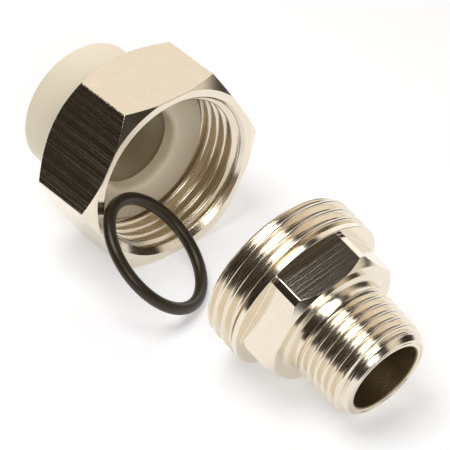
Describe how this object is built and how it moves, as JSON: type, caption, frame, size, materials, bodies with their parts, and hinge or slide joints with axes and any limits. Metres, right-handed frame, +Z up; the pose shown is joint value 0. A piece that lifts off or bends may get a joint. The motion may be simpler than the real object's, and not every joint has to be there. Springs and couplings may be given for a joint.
{
  "type": "male threaded union adapter",
  "caption": "Pipe union adapter laid out in pieces: plastic pipe socket turning in a hexagon union nut, rubber seal ring, and metal body with a male pipe thread.",
  "frame": {"origin": "on the floor, under the middle of the bounding box of the whole set as it lies", "axes": "+X along the nut and tailpiece axis, out of the nut mouth towards the metal body; +Z up"},
  "size_m": [0.0934, 0.0428, 0.036],
  "materials": {
    "nut_plating": "polished nickel plate on brass",
    "ivory_plastic": "satin moulded polypropylene",
    "seal_rubber": "moulded black rubber",
    "body_plating": "polished nickel plate on brass"
  },
  "bodies": {
    "fitting": {"union_nut": "nut_plating", "o_ring": "seal_rubber", "male_thread_body": "body_plating"},
    "tailpiece": {"pipe_socket_tailpiece": "ivory_plastic"}
  },
  "joints": [
    {"name": "tailpiece_turn", "type": "hinge", "parent": "fitting", "child": "tailpiece", "pos_m": [-0.02806, 0.00058, 0.018], "axis": [1, 0, 0], "continuous": true}
  ]
}
